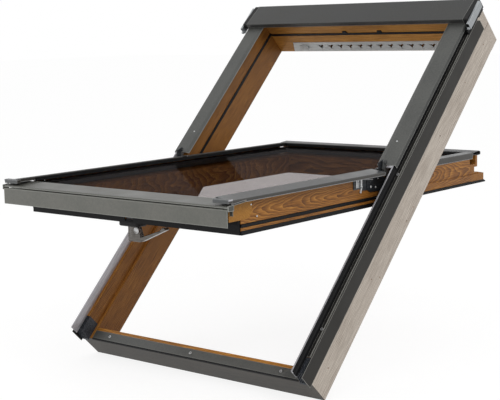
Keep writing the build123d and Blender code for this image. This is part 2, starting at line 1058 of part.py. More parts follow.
with BuildPart() as sash_stile:
    add(sash_low.part)
    add(sash_high.part)
    with BuildSketch(sash_side(0)):
        with BuildLine():
            FilletPolyline(*rail_tongue, radius=tongue_radii, close=True)
        make_face()
    extrude(amount=sash_half, mode=Mode.SUBTRACT)
    with BuildSketch(sash_cross(half_change - seal_end_gap)):
        with Locations((sash_half, (seal_groove_low + seal_groove_high) / 2)):
            Rectangle(2 * seal_groove_deep, seal_groove_high - seal_groove_low)
    extrude(amount=half_change - seal_end_gap - rail_low_end, mode=Mode.SUBTRACT)
save_pair(sash_stile, "sash_stile")

# Bottom rail of the sash with the nose over the sill and the pocket of the latch
cap_slope = (cap_start_high - cap_end_high) / (cap_start - cap_end)
nose_top_front = cap_end_high + cap_slope * (nose_end - cap_end) - sheet - seat_gap
nose_top_back = cap_end_high + cap_slope * (rail_low_rebate - cap_end) - sheet - seat_gap
rail_low_bar = timber(
    sash_side(-sash_half),
    (
        (stile_low_end, 0),
        (stile_low_end, rebate_floor),
        (rail_low_rebate, rebate_floor),
        (rail_low_rebate, nose_top_back),
        (nose_end, nose_top_front),
        (nose_end, nose_under_front),
        (rail_low_end, nose_under_back),
        (rail_low_end, 0),
    ),
    2 * sash_half,
)
with BuildPart() as sash_rail_bottom:
    add(rail_low_bar.part)
    with BuildSketch(sash_side(-sash_inner)):
        with BuildLine():
            Polyline(
                (rail_low_inner, 0),
                (rail_low_inner, rebate_floor),
                (stile_low_end - 2 * wood_round, rebate_floor),
                (stile_low_end - 2 * wood_round, 0),
                close=True,
            )
        make_face()
    extrude(amount=2 * sash_inner)
    for side in (-sash_half, sash_inner):
        with BuildSketch(sash_side(side)):
            with BuildLine():
                Polyline(
                    (rail_low_end, 0),
                    (stile_low_end, 0),
                    (stile_low_end, sash_top_face),
                    (rail_low_end, sash_top_face),
                    close=True,
                )
            make_face()
            with BuildLine():
                FilletPolyline(*rail_tongue, radius=tongue_radii, close=True)
            make_face(mode=Mode.SUBTRACT)
        extrude(amount=sash_timber, mode=Mode.SUBTRACT)
    with BuildSketch(sash_side(-bolt_half - bolt_gap)):
        with BuildLine():
            Polyline(
                (rail_low_end, bolt_low - bolt_gap),
                (rail_low_end, bolt_high + bolt_gap),
                (rail_low_end + bolt_long + 2 * bolt_setback, bolt_high + bolt_gap),
                (rail_low_end + bolt_long + 2 * bolt_setback, bolt_low - bolt_gap),
                close=True,
            )
        make_face()
    extrude(amount=2 * (bolt_half + bolt_gap), mode=Mode.SUBTRACT)
save(sash_rail_bottom, "sash_rail_bottom")

# Top rail of the sash, stepped outside
rail_top_bar = timber(
    sash_side(-sash_half),
    (
        (stile_high_end, 0),
        (rail_top_lip, 0),
        (rail_top_lip, flange_bottom),
        (rail_top_flange, flange_bottom),
        (rail_top_flange, flange_top),
        (rail_top_outer, rail_notch_low),
        (rail_notch, rail_notch_low),
        (rail_notch, rail_notch_high),
        (rail_top_outer, rail_notch_high),
        (rail_top_outer, sash_top_face),
        (rail_top_rebate, sash_top_face),
        (rail_top_rebate, rebate_floor),
        (stile_high_end, rebate_floor),
    ),
    2 * sash_half,
)
with BuildPart() as sash_rail_top:
    add(rail_top_bar.part)
    with BuildSketch(sash_side(-sash_inner)):
        with BuildLine():
            Polyline(
                (rail_top_inner, 0),
                (rail_top_inner, rebate_floor),
                (stile_high_end + 2 * wood_round, rebate_floor),
                (stile_high_end + 2 * wood_round, 0),
                close=True,
            )
        make_face()
    extrude(amount=2 * sash_inner)
    with BuildSketch(sash_face(0)):
        for end in (-sash_half, sash_half):
            with Locations((end, (rail_top_lip + stile_high_end) / 2)):
                Rectangle(2 * (sash_half - rear_lip_half), rail_top_lip - stile_high_end)
    extrude(amount=flange_bottom, mode=Mode.SUBTRACT)
    with BuildSketch(sash_face(flange_bottom)):
        for end in (-sash_half, sash_half):
            with Locations((end, (rail_top_flange + stile_high_end) / 2)):
                Rectangle(2 * (flange_half - sash_half), rail_top_flange - stile_high_end)
    extrude(amount=flange_top - flange_bottom)
save(sash_rail_top, "sash_rail_top")

# Sealed double pane
with BuildPart() as pane_outer:
    with BuildSketch(sash_face(sash_top_face - pane_thick)):
        with Locations((0, (unit_low + unit_high) / 2)):
            Rectangle(2 * unit_half, unit_high - unit_low)
    extrude(amount=pane_thick)
save(pane_outer, "pane_outer")
with BuildPart() as pane_inner:
    with BuildSketch(sash_face(pane_low)):
        with Locations((0, (unit_low + unit_high) / 2)):
            Rectangle(2 * unit_half, unit_high - unit_low)
    extrude(amount=pane_thick)
save(pane_inner, "pane_inner")
with BuildPart() as glass_spacer:
    with BuildSketch(sash_face(pane_low + pane_thick)):
        with Locations((0, (unit_low + unit_high) / 2)):
            Rectangle(
                2 * (unit_half - spacer_inset), unit_high - unit_low - 2 * spacer_inset
            )
            Rectangle(
                2 * (unit_half - spacer_inset - spacer_width),
                unit_high - unit_low - 2 * (spacer_inset + spacer_width),
                mode=Mode.SUBTRACT,
            )
    extrude(amount=unit_thick - 2 * pane_thick)
save(glass_spacer, "glass_spacer")

# Gaskets on the outer pane at both sides and at the top
glazing_seal = bar(
    sash_cross(seal_end),
    (
        (glazing_seal_inner, sash_top_face),
        (glazing_seal_outer, sash_top_face),
        (glazing_seal_outer, glazing_foot_high),
        (glazing_seal_step, glazing_foot_high),
        (glazing_seal_step, glazing_seal_high),
        (glazing_seal_inner, glazing_seal_high),
    ),
    seal_end - unit_low,
)
top_seal = bar(
    sash_side(-glazing_seal_step),
    (
        (seal_end, sash_top_face),
        (unit_high, sash_top_face),
        (unit_high, glazing_foot_high),
        (top_cover_lip, glazing_foot_high),
        (top_cover_lip, glazing_seal_high),
        (seal_end, glazing_seal_high),
    ),
    2 * glazing_seal_step,
)
save_group("glazing_seal", glazing_seal, mirrored(glazing_seal), top_seal)

# Gaskets of the sash: in the groove of the lower half, and the lip on the room side
sash_seal = bar(
    sash_cross(half_change - seal_end_gap),
    (
        (sash_half - seal_groove_deep, seal_groove_low),
        (sash_half + sash_seal_foot, seal_groove_low + sash_seal_edge),
        (sash_half + sash_seal_proud, seal_groove_high - sash_seal_edge),
        (sash_half - seal_groove_deep, seal_groove_high),
    ),
    half_change - seal_end_gap - rail_low_end,
)
save_pair(sash_seal, "sash_seal")
with BuildPart() as lip_seal:
    with BuildSketch(sash_cross(half_change)):
        with BuildLine():
            Polyline(
                (rear_lip_half, lip_seal_low),
                (sash_half + lip_seal_proud, lip_seal_low),
                (sash_half + lip_seal_proud / 2, lip_seal_high),
                (sash_half, lip_seal_high),
                (sash_half, rear_lip_high),
                (rear_lip_half, rear_lip_high),
                close=True,
            )
        make_face()
    extrude(amount=half_change - rail_low_end)
    with BuildSketch(sash_cross(rail_top_lip)):
        with BuildLine():
            Polyline(
                (rear_lip_half, flange_seal_low),
                (flange_half, flange_seal_low),
                (flange_half + flange_seal_proud, flange_bottom),
                (rear_lip_half, flange_bottom),
                close=True,
            )
        make_face()
    extrude(amount=rail_top_lip - half_change)
lip_seal_top = bar(
    sash_side(-flange_half),
    (
        (rail_top_lip, flange_seal_low),
        (rail_top_flange + top_seal_reach, flange_seal_low),
        (rail_top_flange + top_seal_reach, flange_seal_low + top_seal_edge),
        (rail_top_flange, flange_bottom),
        (rail_top_lip, flange_bottom),
    ),
    2 * flange_half,
)
with BuildPart() as lip_seal_bottom:
    with BuildSketch(sash_side(-bottom_seal_half)):
        with BuildLine():
            Polyline(
                (rail_low_end, lip_seal_low),
                (rail_low_end - sheet, lip_seal_low),
                (rail_low_end - bottom_seal_out, bottom_seal_middle),
                (rail_low_end - bottom_seal_out, bottom_seal_high),
                (rail_low_end, bottom_seal_high),
                close=True,
            )
        make_face()
    extrude(amount=2 * bottom_seal_half)
    with BuildSketch(sash_face(bolt_low - bottom_seal_out)):
        with Locations((0, rail_low_end)):
            Rectangle(2 * keeper_slot_half, 4 * bottom_seal_out)
    extrude(amount=bolt_high - bolt_low + 2 * bottom_seal_out, mode=Mode.SUBTRACT)
save_group("lip_seal", lip_seal, mirrored(lip_seal), lip_seal_top, lip_seal_bottom)

# Metal covers of the sash: wide over the lower half, narrow over the upper half
low_cover = bent_sheet(
    sash_cross(low_cover_end),
    (
        (glazing_seal_step, glazing_foot_high),
        (glazing_seal_step, low_cover_top),
        (low_cover_outer, low_cover_fold),
        (low_cover_outer, low_cover_drop),
    ),
    low_cover_end - low_cover_start,
)
with BuildPart() as low_cover_cut:
    add(low_cover.part)
    with BuildSketch(sash_side(0)):
        with BuildLine():
            Polyline(
                (cap_end, cap_drop),
                (cap_start + low_cover_clear, cap_drop),
                (cap_start + low_cover_clear, cap_start_high + low_cover_clear),
                (cap_end, cap_end_high + low_cover_clear),
                close=True,
            )
        make_face()
    extrude(amount=frame_half, mode=Mode.SUBTRACT)
save_pair(low_cover_cut, "sash_cover_low")
high_cover = bent_sheet(
    sash_cross(high_cover_end),
    (
        (glazing_seal_step, glazing_foot_high),
        (glazing_seal_step, high_cover_top),
        (high_cover_outer, high_cover_fold),
        (high_cover_outer, high_cover_drop),
    ),
    high_cover_end,
)
save_pair(high_cover, "sash_cover_high")
top_cover = bent_sheet(
    sash_side(-high_cover_outer),
    (
        (top_cover_lip, glazing_foot_high),
        (top_cover_lip, top_cover_high - top_cover_fall),
        (top_cover_ridge, top_cover_high + top_cover_rise),
        (top_cover_outer, top_cover_high - top_cover_fall),
        (top_cover_outer, top_cover_drop),
        (rail_top_outer, top_cover_drop - top_cover_foot),
    ),
    2 * high_cover_outer,
)
save(top_cover, "sash_cover_top")
bottom_cap = bent_sheet(
    sash_side(-cap_half),
    (
        (cap_start, cap_start_high),
        (cap_end, cap_end_high),
        (cap_end, cap_drop),
    ),
    2 * cap_half,
    side=Side.LEFT,
)
save(bottom_cap, "bottom_cap")
apron_sheet = bent_sheet(
    sash_side(-apron_half),
    (
        (nose_end - sheet, nose_under_front + apron_tail),
        (nose_end - sheet, apron_top),
        (cap_end, apron_top),
        (cap_end, apron_bottom),
    ),
    2 * apron_half,
)
with BuildPart() as apron:
    add(apron_sheet.part)
    with BuildSketch(sash_face(apron_bottom)):
        for end in (-apron_half, apron_half):
            with Locations((end, nose_end)):
                Rectangle(2 * (apron_half - apron_notch), 2 * (nose_end - cap_end - 2 * bend))
    extrude(amount=apron_top, mode=Mode.SUBTRACT)
save(apron, "apron")
cap_clip = bar(
    sash_side(cap_half),
    (
        (cap_end - clip_thick, apron_top - clip_margin),
        (cap_end + clip_long, apron_top - clip_margin),
        (cap_end + clip_long, cap_end_high + clip_margin),
        (cap_end - clip_thick, cap_end_high + sheet),
    ),
    clip_thick,
)
save_group("cap_clips", cap_clip, mirrored(cap_clip))

# Hinge plate on the sash, with an arm that reaches the pin through the gap between the covers
pivot_height = sash_below_pivot
with BuildPart() as hinge_plate:
    with BuildSketch(sash_side(plate_inner)):
        with BuildLine():
            Polyline(
                (plate_low, plate_bottom + plate_corner),
                (plate_low + plate_slope, plate_bottom),
                (plate_high - plate_slope, plate_bottom),
                (plate_high, plate_bottom + plate_corner),
                (plate_high, plate_top - plate_slope),
                (arm_high, plate_top),
                (arm_high, pivot_height),
                (arm_low, pivot_height),
                (arm_low, plate_top),
                (plate_low, plate_top),
                close=True,
            )
        make_face()
        with Locations((0, pivot_height)):
            Circle(boss_radius)
        with BuildLine():
            Polyline(
                (arm_low, pivot_height - arm_drop),
                (0, pivot_height - boss_radius),
                (0, pivot_height + boss_radius),
                (arm_low, pivot_height),
                close=True,
            )
        make_face()
    extrude(amount=plate_outer - plate_inner)
    with BuildSketch(sash_side(plate_outer)):
        with Locations((0, pivot_height)):
            Circle(boss_radius)
    extrude(amount=boss_outer - plate_outer)
    with BuildSketch(sash_side(plate_inner)):
        with Locations((0, pivot_height)):
            Circle(pin_radius + pin_fit)
    extrude(amount=boss_outer - plate_inner, mode=Mode.SUBTRACT)
save_pair(hinge_plate, "hinge_plate")

# Pivot pin, held in the bracket of the frame
with BuildPart() as hinge_pin:
    with BuildSketch(sash_side(plate_inner - pin_head)):
        with Locations((0, pivot_height)):
            Circle(pin_radius)
    extrude(amount=pin_outer - plate_inner + pin_head)
    with BuildSketch(sash_side(bracket_outer)):
        with Locations((0, pivot_height)):
            Circle(pin_radius + pin_head)
    extrude(amount=pin_outer - bracket_outer)
save_group("hinge_pins", hinge_pin, mirrored(hinge_pin))

# Hinge bracket of the frame, screwed to the step of the timber side
with BuildPart() as hinge_bracket:
    with BuildSketch(frame_side(bracket_inner)):
        with BuildLine():
            Polyline(
                (bracket_low, block_bottom),
                (bracket_high, block_bottom),
                (bracket_high, block_top),
                (bracket_low, block_top),
                close=True,
            )
        make_face()
    extrude(amount=riser_inner - bracket_inner)
    with BuildSketch(frame_side(bracket_inner)):
        with BuildLine():
            Polyline(
                (neck_start, block_top),
                (neck_high, block_top),
                (neck_high, neck_top - neck_drop),
                (pivot_along, pivot_out - boss_radius),
                (pivot_along, pivot_out + boss_radius),
                (neck_start, neck_top),
                close=True,
            )
        make_face()
        with Locations((pivot_along, pivot_out)):
            Circle(boss_radius)
            Circle(pin_radius, mode=Mode.SUBTRACT)
    extrude(amount=bracket_outer - bracket_inner)
save_pair(hinge_bracket, "hinge_bracket")

# Ridged friction plate on the flank of the sash
with BuildPart() as brake_plate:
    with BuildSketch(sash_side(sash_half)):
        with BuildLine():
            Polyline(
                (brake_low, brake_bottom),
                (brake_high, brake_bottom),
                (brake_high, brake_top),
                (brake_low, brake_top),
                close=True,
            )
        make_face()
    extrude(amount=brake_thick)
    ridge_step = (brake_high - brake_low) / brake_ridges
    with BuildSketch(sash_side(sash_half)):
        for ridge in range(brake_ridges):
            with Locations(
                (brake_low + (ridge + 0.5) * ridge_step, (brake_bottom + brake_top) / 2)
            ):
                Rectangle(ridge_step / 2, brake_top - brake_bottom - brake_margin)
    extrude(amount=brake_proud)
save_pair(brake_plate, "brake_plate")

# Handle: base on the bottom rail and a bent grip that turns on it
with BuildPart() as handle_base:
    with BuildSketch(sash_face(-base_thick)):
        with Locations(((base_left + base_right) / 2, handle_along)):
            RectangleRounded(base_right - base_left, base_width, base_round)
    extrude(amount=base_thick)
    chamfer(handle_base.faces().sort_by(Axis.Z)[0].edges(), base_edge)
save(handle_base, "handle_base")
with BuildPart() as handle_lever:
    with BuildSketch(sash_cross(handle_along + grip_width / 2)):
        with BuildLine():
            FilletPolyline(
                (handle_across - heel_half, -base_thick - seat_gap),
                (handle_across - heel_half, -handle_drop),
                (knee_across, -handle_drop),
                (tip_across, -tip_low),
                (tip_across - heel_round, -tip_high),
                (tip_across - tip_width, -tip_high),
                (tip_across - tip_width - tip_slope, -tip_high - tip_slope),
                (knee_across, -handle_drop + heel_thick),
                (handle_across + heel_half, -base_thick - seat_gap),
                radius=(0, heel_round, knee_round, tip_round, tip_round, tip_round, 0, 0, 0),
                close=True,
            )
        make_face()
    extrude(amount=grip_width)
    lever_sides = handle_lever.faces().filter_by(Axis.Y)
    chamfer(lever_sides.edges(), grip_edge)
    with BuildSketch(sash_face(-base_thick - seat_gap)):
        with Locations((handle_across, handle_along)):
            Circle(handle_boss)
    extrude(amount=base_thick + heel_thick - handle_drop)
save(handle_lever, "handle_lever")

# Latch bolt in the bottom rail
with BuildPart() as latch_bolt:
    with BuildSketch(sash_face(bolt_low)):
        with Locations((0, rail_low_end + bolt_long / 2 + bolt_setback)):
            Rectangle(2 * bolt_half, bolt_long)
    extrude(amount=bolt_high - bolt_low)
save(latch_bolt, "latch_bolt")
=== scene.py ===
import json
from math import cos, radians, sin

import bmesh
import bpy
from mathutils import Matrix, Vector


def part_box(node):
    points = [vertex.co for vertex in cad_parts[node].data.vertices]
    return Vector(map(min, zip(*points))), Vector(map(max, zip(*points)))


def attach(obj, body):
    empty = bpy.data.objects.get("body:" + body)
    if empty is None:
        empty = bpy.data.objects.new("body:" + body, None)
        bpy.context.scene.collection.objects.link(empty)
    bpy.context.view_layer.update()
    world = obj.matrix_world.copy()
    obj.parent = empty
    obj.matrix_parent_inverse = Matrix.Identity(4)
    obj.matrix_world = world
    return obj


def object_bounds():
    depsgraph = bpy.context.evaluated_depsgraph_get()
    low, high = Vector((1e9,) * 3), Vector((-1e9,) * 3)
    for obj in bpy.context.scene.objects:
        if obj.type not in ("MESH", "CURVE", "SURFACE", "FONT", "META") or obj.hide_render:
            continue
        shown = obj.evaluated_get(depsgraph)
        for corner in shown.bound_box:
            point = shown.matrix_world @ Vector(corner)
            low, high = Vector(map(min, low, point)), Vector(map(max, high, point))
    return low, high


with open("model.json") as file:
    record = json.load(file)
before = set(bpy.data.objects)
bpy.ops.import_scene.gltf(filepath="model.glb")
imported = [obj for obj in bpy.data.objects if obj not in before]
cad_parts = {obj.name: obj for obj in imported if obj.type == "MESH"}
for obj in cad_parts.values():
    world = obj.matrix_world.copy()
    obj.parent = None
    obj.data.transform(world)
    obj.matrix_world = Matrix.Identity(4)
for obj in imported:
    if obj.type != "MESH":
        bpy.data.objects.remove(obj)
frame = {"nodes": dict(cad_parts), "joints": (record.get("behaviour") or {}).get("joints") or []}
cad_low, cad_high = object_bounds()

MM = 0.001

# The window's own places: the roof's slope, the bare outer flank, and the sash's pivot and rear face at rest
SLOPE = radians(45)
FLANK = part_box("frame_stile_right")[1].x
PIVOT = Vector(next(j["pos_m"] for j in frame["joints"] if j["name"] == "sash_pivot"))
SASH_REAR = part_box("sash_rail_bottom")[0].z
SILL_MIDDLE = 18  # millimetres from the frame's lower end up to the origin

# Millimetres on the fixed frame: across, up the slope, out of the room. On the sash: across, along, up.
TO_METRES = Matrix.Diagonal((MM, MM, MM, 1))
ON_FRAME = Matrix.Rotation(SLOPE, 4, "X") @ TO_METRES @ Matrix.Translation((0, -SILL_MIDDLE, 0))
ON_SASH = Matrix.Translation((0, PIVOT.y, SASH_REAR)) @ TO_METRES

# Directions in which grain and drawing lines run: the turn that lays the frame level, then the axis
UP_FRAME = (-SLOPE, 1)
ACROSS_FRAME = (-SLOPE, 0)
ALONG_SASH = (0, 1)
ACROSS_SASH = (0, 0)


def linear(colour):
    """An sRGB hex value as linear red, green, blue and alpha."""
    parts = [int(colour[i : i + 2], 16) / 255 for i in (1, 3, 5)]
    return [*(c / 12.92 if c <= 0.04045 else ((c + 0.055) / 1.055) ** 2.4 for c in parts), 1]


def add_node(tree, kind, settings=None, links=None, stops=()):
    """Adds a node, sets its properties and sockets, places a ramp's stops as (place, hex colour), and
    links its sockets to outputs given as (node, name)."""
    node = tree.nodes.new("ShaderNode" + kind)
    for name, value in (settings or {}).items():
        if isinstance(name, str) and hasattr(node, name):
            setattr(node, name, value)
        else:
            node.inputs[name].default_value = value
    for number, (place, colour) in enumerate(stops):
        if number == len(node.color_ramp.elements):
            node.color_ramp.elements.new(place)
        node.color_ramp.elements[number].position = place
        node.color_ramp.elements[number].color = linear(colour)
    for name, (source, output) in (links or {}).items():
        tree.links.new(source.outputs[output], node.inputs[name])
    return node


def new_material(name):
    material = bpy.data.materials.new(name)
    material.use_nodes = True
    material.node_tree.nodes.clear()
    return material, material.node_tree


def drawn_out(axis, share):
    """The scales of a pattern that is drawn out along one axis."""
    scales = [1.0, 1.0, 1.0]
    scales[axis] = share
    return scales


# Planed pine under an amber lacquer: growth rings as fine dark lines and arches, fibres between them, and a
# soft gloss. The rings are drawn 3.1 mm apart and the fibres 1.6 mm wide, coarser than real ones, so that
# they show.
RING = 3.1 * MM
FIBRE = 1.6 * MM
DRIFT = 52.63 * MM  # the length over which the rings change their course
WANDER = 19 * MM  # how far they leave it
PORE = 0.3 * MM
WAVE_PITCH = 0.314  # a wave texture of scale 1 repeats after this many metres
RING_SHARE, FIBRE_SHARE, DRIFT_SHARE = 0.4, 0.75, 0.25
TONE_PLACES = (0.42, 0.66, 0.95)
LOWER_END_REACH = 0.6  # millimetres from the frame's lower end
LEDGE = 0.9  # how squarely a ledge looks out of the room
FLANK_SKIN = 0.6 * MM


def lacquered_pine(name, run, cut, tones, lean=0.0, painted_light=None, bare=None, lower_end=None):
    """Pine whose grain runs one way, cut from a place in its trunk and at a lean to it."""
    turn, axis = run
    material, tree = new_material(name)
    place = add_node(tree, "TexCoord")
    board = add_node(tree, "Mapping", {"Rotation": (turn, 0, 0)}, {"Vector": (place, "Object")})
    slow_place = add_node(tree, "Mapping", {"Scale": drawn_out(axis, 0.4)}, {"Vector": (board, 0)})
    drift = add_node(
        tree,
        "TexNoise",
        {"Scale": 1 / DRIFT, "Detail": 2.0, "Roughness": 0.45},
        {"Vector": (slow_place, 0)},
    )
    trunk = add_node(tree, "Mapping", {"Rotation": (0, 0, lean), "Location": cut}, {"Vector": (board, 0)})
    wavy = add_node(
        tree,
        "VectorMath",
        {"operation": "MULTIPLY_ADD", 1: (WANDER, WANDER, WANDER)},
        {0: (drift, "Color"), 2: (trunk, 0)},
    )
    rings = add_node(
        tree,
        "TexWave",
        {
            "wave_type": "RINGS",
            "rings_direction": "XYZ"[axis],
            "wave_profile": "SAW",
            "Scale": WAVE_PITCH / RING,
            "Distortion": 1.6,
            "Detail": 2.0,
            "Detail Scale": 0.8,
        },
        {"Vector": (wavy, 0)},
    )
    fibre_place = add_node(tree, "Mapping", {"Scale": drawn_out(axis, 0.06)}, {"Vector": (board, 0)})
    # One step of the noise holds a pale and a dark fibre
    fibres = add_node(
        tree,
        "TexNoise",
        {"Scale": 1 / (2 * FIBRE), "Detail": 3.0, "Roughness": 0.7},
        {"Vector": (fibre_place, 0)},
    )
    grain = add_node(tree, "Math", {"operation": "MULTIPLY", 1: RING_SHARE}, {0: (rings, "Fac")})
    for pattern, share in ((fibres, FIBRE_SHARE), (drift, DRIFT_SHARE)):
        grain = add_node(
            tree,
            "Math",
            {"operation": "MULTIPLY_ADD", 1: share},
            {0: (pattern, "Fac"), 2: (grain, 0)},
        )
    others = []
    if painted_light is not None:
        # Painted light: the ledges that face out of the room take the lighter tones of a lit copy of the pine
        facing = add_node(
            tree,
            "VectorMath",
            {"operation": "DOT_PRODUCT", 1: (0, -sin(SLOPE), cos(SLOPE))},
            {0: (place, "Normal")},
        )
        ledge = add_node(tree, "Math", {"operation": "GREATER_THAN", 1: LEDGE}, {0: (facing, "Value")})
        others.append((ledge, painted_light))
    if bare is not None:
        # Bare pine on the outer flank, greyer, where the lacquer stops
        across = add_node(tree, "SeparateXYZ", links={0: (place, "Object")})
        side = add_node(tree, "Math", {"operation": "ABSOLUTE"}, {0: (across, "X")})
        outside = add_node(tree, "Math", {"operation": "GREATER_THAN", 1: FLANK - FLANK_SKIN}, {0: (side, 0)})
        others.append((outside, bare))
    if lower_end is not None:
        # The lower ends of the boards, darker and greyer
        along = add_node(tree, "SeparateXYZ", links={0: (board, 0)})
        last = (LOWER_END_REACH - SILL_MIDDLE) * MM
        end = add_node(tree, "Math", {"operation": "LESS_THAN", 1: last}, {0: (along, "Y")})
        others.append((end, lower_end))
    tone = add_node(tree, "ValToRGB", links={"Fac": (grain, 0)}, stops=zip(TONE_PLACES, tones))
    colour = (tone, "Color")
    for where, other_tones in others:
        other = add_node(tree, "ValToRGB", links={"Fac": (grain, 0)}, stops=zip(TONE_PLACES, other_tones))
        mixed = add_node(
            tree,
            "Mix",
            {"data_type": "RGBA"},
            {0: (where, 0), 6: colour, 7: (other, "Color")},
        )
        colour = (mixed, 2)
    pores = add_node(tree, "Bump", {"Strength": 0.4, "Distance": PORE}, {"Height": (grain, 0)})
    lacquer = add_node(
        tree,
        "BsdfPrincipled",
        {"Roughness": 0.44, "Specular IOR Level": 0.28, "IOR": 1.45},
        {"Base Color": colour, "Normal": (pores, "Normal")},
    )
    add_node(tree, "OutputMaterial", links={"Surface": (lacquer, "BSDF")})
    return material


# Coated aluminium sheet, rolled and folded: satin grey with a fine speckle, and a painted highlight as a
# lighter line along its folds. The speckle is drawn 4 mm wide so that it shows.
SPECKLE = 4 * MM
CLOUD = 83.33 * MM
CLOUD_SHARE = 0.5
FOLD = 3 * MM
COAT_GRAIN = 0.08 * MM
FLAT, FOLDED = 0.995, 0.9  # cosines between a face and its rounded self, away from a fold and on it
FOLD_HIGHLIGHT = 0.9
FACE, FLANGE = 0.5, 0.9  # how far sideways a face looks where the painted side shade starts and where it is full
GLOSSIER, DULLER = 0.05, 0.08


def coated_sheet(name, colour, lighter, fold, side_shade, roughness=0.4, gloss=0.5):
    material, tree = new_material(name)
    place = add_node(tree, "TexCoord")
    cloud = add_node(tree, "TexNoise", {"Scale": 1 / CLOUD, "Detail": 3.0}, {"Vector": (place, "Object")})
    speck = add_node(tree, "TexNoise", {"Scale": 1 / SPECKLE, "Detail": 2.0}, {"Vector": (place, "Object")})
    shade = add_node(tree, "Math", {"operation": "MULTIPLY", 1: CLOUD_SHARE}, {0: (cloud, "Fac")})
    value = add_node(
        tree,
        "Math",
        {"operation": "MULTIPLY_ADD", 1: 1 - CLOUD_SHARE},
        {0: (speck, "Fac"), 2: (shade, 0)},
    )
    tone = add_node(tree, "ValToRGB", links={"Fac": (value, 0)}, stops=((0.38, colour), (0.62, lighter)))
    rounded = add_node(tree, "Bevel", {"samples": 8, "Radius": FOLD})
    flat = add_node(tree, "NewGeometry")
    agree = add_node(
        tree,
        "VectorMath",
        {"operation": "DOT_PRODUCT"},
        {0: (rounded, 0), 1: (flat, "True Normal")},
    )
    # Painted highlight: along the folds, where the rounded normal leaves the flat one, the colour turns
    # towards the lighter fold colour
    edge = add_node(
        tree,
        "MapRange",
        {"From Min": FLAT, "From Max": FOLDED, "To Min": 0.0, "To Max": FOLD_HIGHLIGHT},
        {"Value": (agree, "Value")},
    )
    # Painted shade: faces that look sideways take the darker side shade colour, while faces that look up or
    # down keep the coat's tones
    facing = add_node(tree, "SeparateXYZ", links={0: (place, "Normal")})
    sideways = add_node(tree, "Math", {"operation": "ABSOLUTE"}, {0: (facing, "X")})
    side_shade_share = add_node(tree, "MapRange", {"From Min": FACE, "From Max": FLANGE}, {"Value": (sideways, 0)})
    dark = add_node(
        tree,
        "Mix",
        {"data_type": "RGBA", 7: linear(side_shade)},
        {0: (side_shade_share, 0), 6: (tone, "Color")},
    )
    pale = add_node(tree, "Mix", {"data_type": "RGBA", 7: linear(fold)}, {0: (edge, 0), 6: (dark, 2)})
    dull = add_node(
        tree,
        "MapRange",
        {
            "From Min": 0.3,
            "From Max": 0.7,
            "To Min": roughness - GLOSSIER,
            "To Max": roughness + DULLER,
        },
        {"Value": (cloud, "Fac")},
    )
    skin = add_node(tree, "Bump", {"Strength": 0.3, "Distance": COAT_GRAIN}, {"Height": (speck, "Fac")})
    coat = add_node(
        tree,
        "BsdfPrincipled",
        {"Metallic": 0.2, "IOR": 1.5, "Specular IOR Level": gloss},
        {"Base Color": (pale, 2), "Roughness": (dull, "Result"), "Normal": (skin, "Normal")},
    )
    add_node(tree, "OutputMaterial", links={"Surface": (coat, "BSDF")})
    return material


# Bare or plated metal with fine drawing lines along one direction, drawn 1.4 mm apart so that they show
DRAWING = 1.4 * MM
SCORE = 0.05 * MM


def drawn_metal(name, colour, lighter, run, roughness, metallic):
    turn, axis = run
    material, tree = new_material(name)
    place = add_node(tree, "TexCoord")
    turned = add_node(tree, "Mapping", {"Rotation": (turn, 0, 0)}, {"Vector": (place, "Object")})
    line_place = add_node(tree, "Mapping", {"Scale": drawn_out(axis, 0.03)}, {"Vector": (turned, 0)})
    lines = add_node(tree, "TexNoise", {"Scale": 1 / DRAWING, "Detail": 2.0}, {"Vector": (line_place, 0)})
    tone = add_node(tree, "ValToRGB", links={"Fac": (lines, "Fac")}, stops=((0.35, colour), (0.68, lighter)))
    skin = add_node(tree, "Bump", {"Strength": 0.4, "Distance": SCORE}, {"Height": (lines, "Fac")})
    metal = add_node(
        tree,
        "BsdfPrincipled",
        {"Metallic": metallic, "Roughness": roughness},
        {"Base Color": (tone, "Color"), "Normal": (skin, "Normal")},
    )
    add_node(tree, "OutputMaterial", links={"Surface": (metal, "BSDF")})
    return material


# Extruded rubber and moulded plastic: matt, with a fine grain that is drawn 3 or 4 mm wide so that it shows
FINE_GRAIN, COARSE_GRAIN = 3 * MM, 4 * MM
SKIN_GRAIN = 0.1 * MM


def moulding(name, colour, lighter, roughness, grain):
    material, tree = new_material(name)
    place = add_node(tree, "TexCoord")
    speck = add_node(tree, "TexNoise", {"Scale": 1 / grain, "Detail": 2.0}, {"Vector": (place, "Object")})
    tone = add_node(tree, "ValToRGB", links={"Fac": (speck, "Fac")}, stops=((0.35, colour), (0.72, lighter)))
    skin = add_node(tree, "Bump", {"Strength": 0.4, "Distance": SKIN_GRAIN}, {"Height": (speck, "Fac")})
    matt = add_node(
        tree,
        "BsdfPrincipled",
        {"Roughness": roughness, "Specular IOR Level": 0.2, "IOR": 1.48},
        {"Base Color": (tone, "Color"), "Normal": (skin, "Normal")},
    )
    add_node(tree, "OutputMaterial", links={"Surface": (matt, "BSDF")})
    return material


# Float glass of the sealed pane, coated against the sun: see-through with a grey-lilac tint and a weak, dark
# mirror. Its haze changes over 167 mm.
HAZE = 166.67 * MM
MIRROR = "#605e5f"


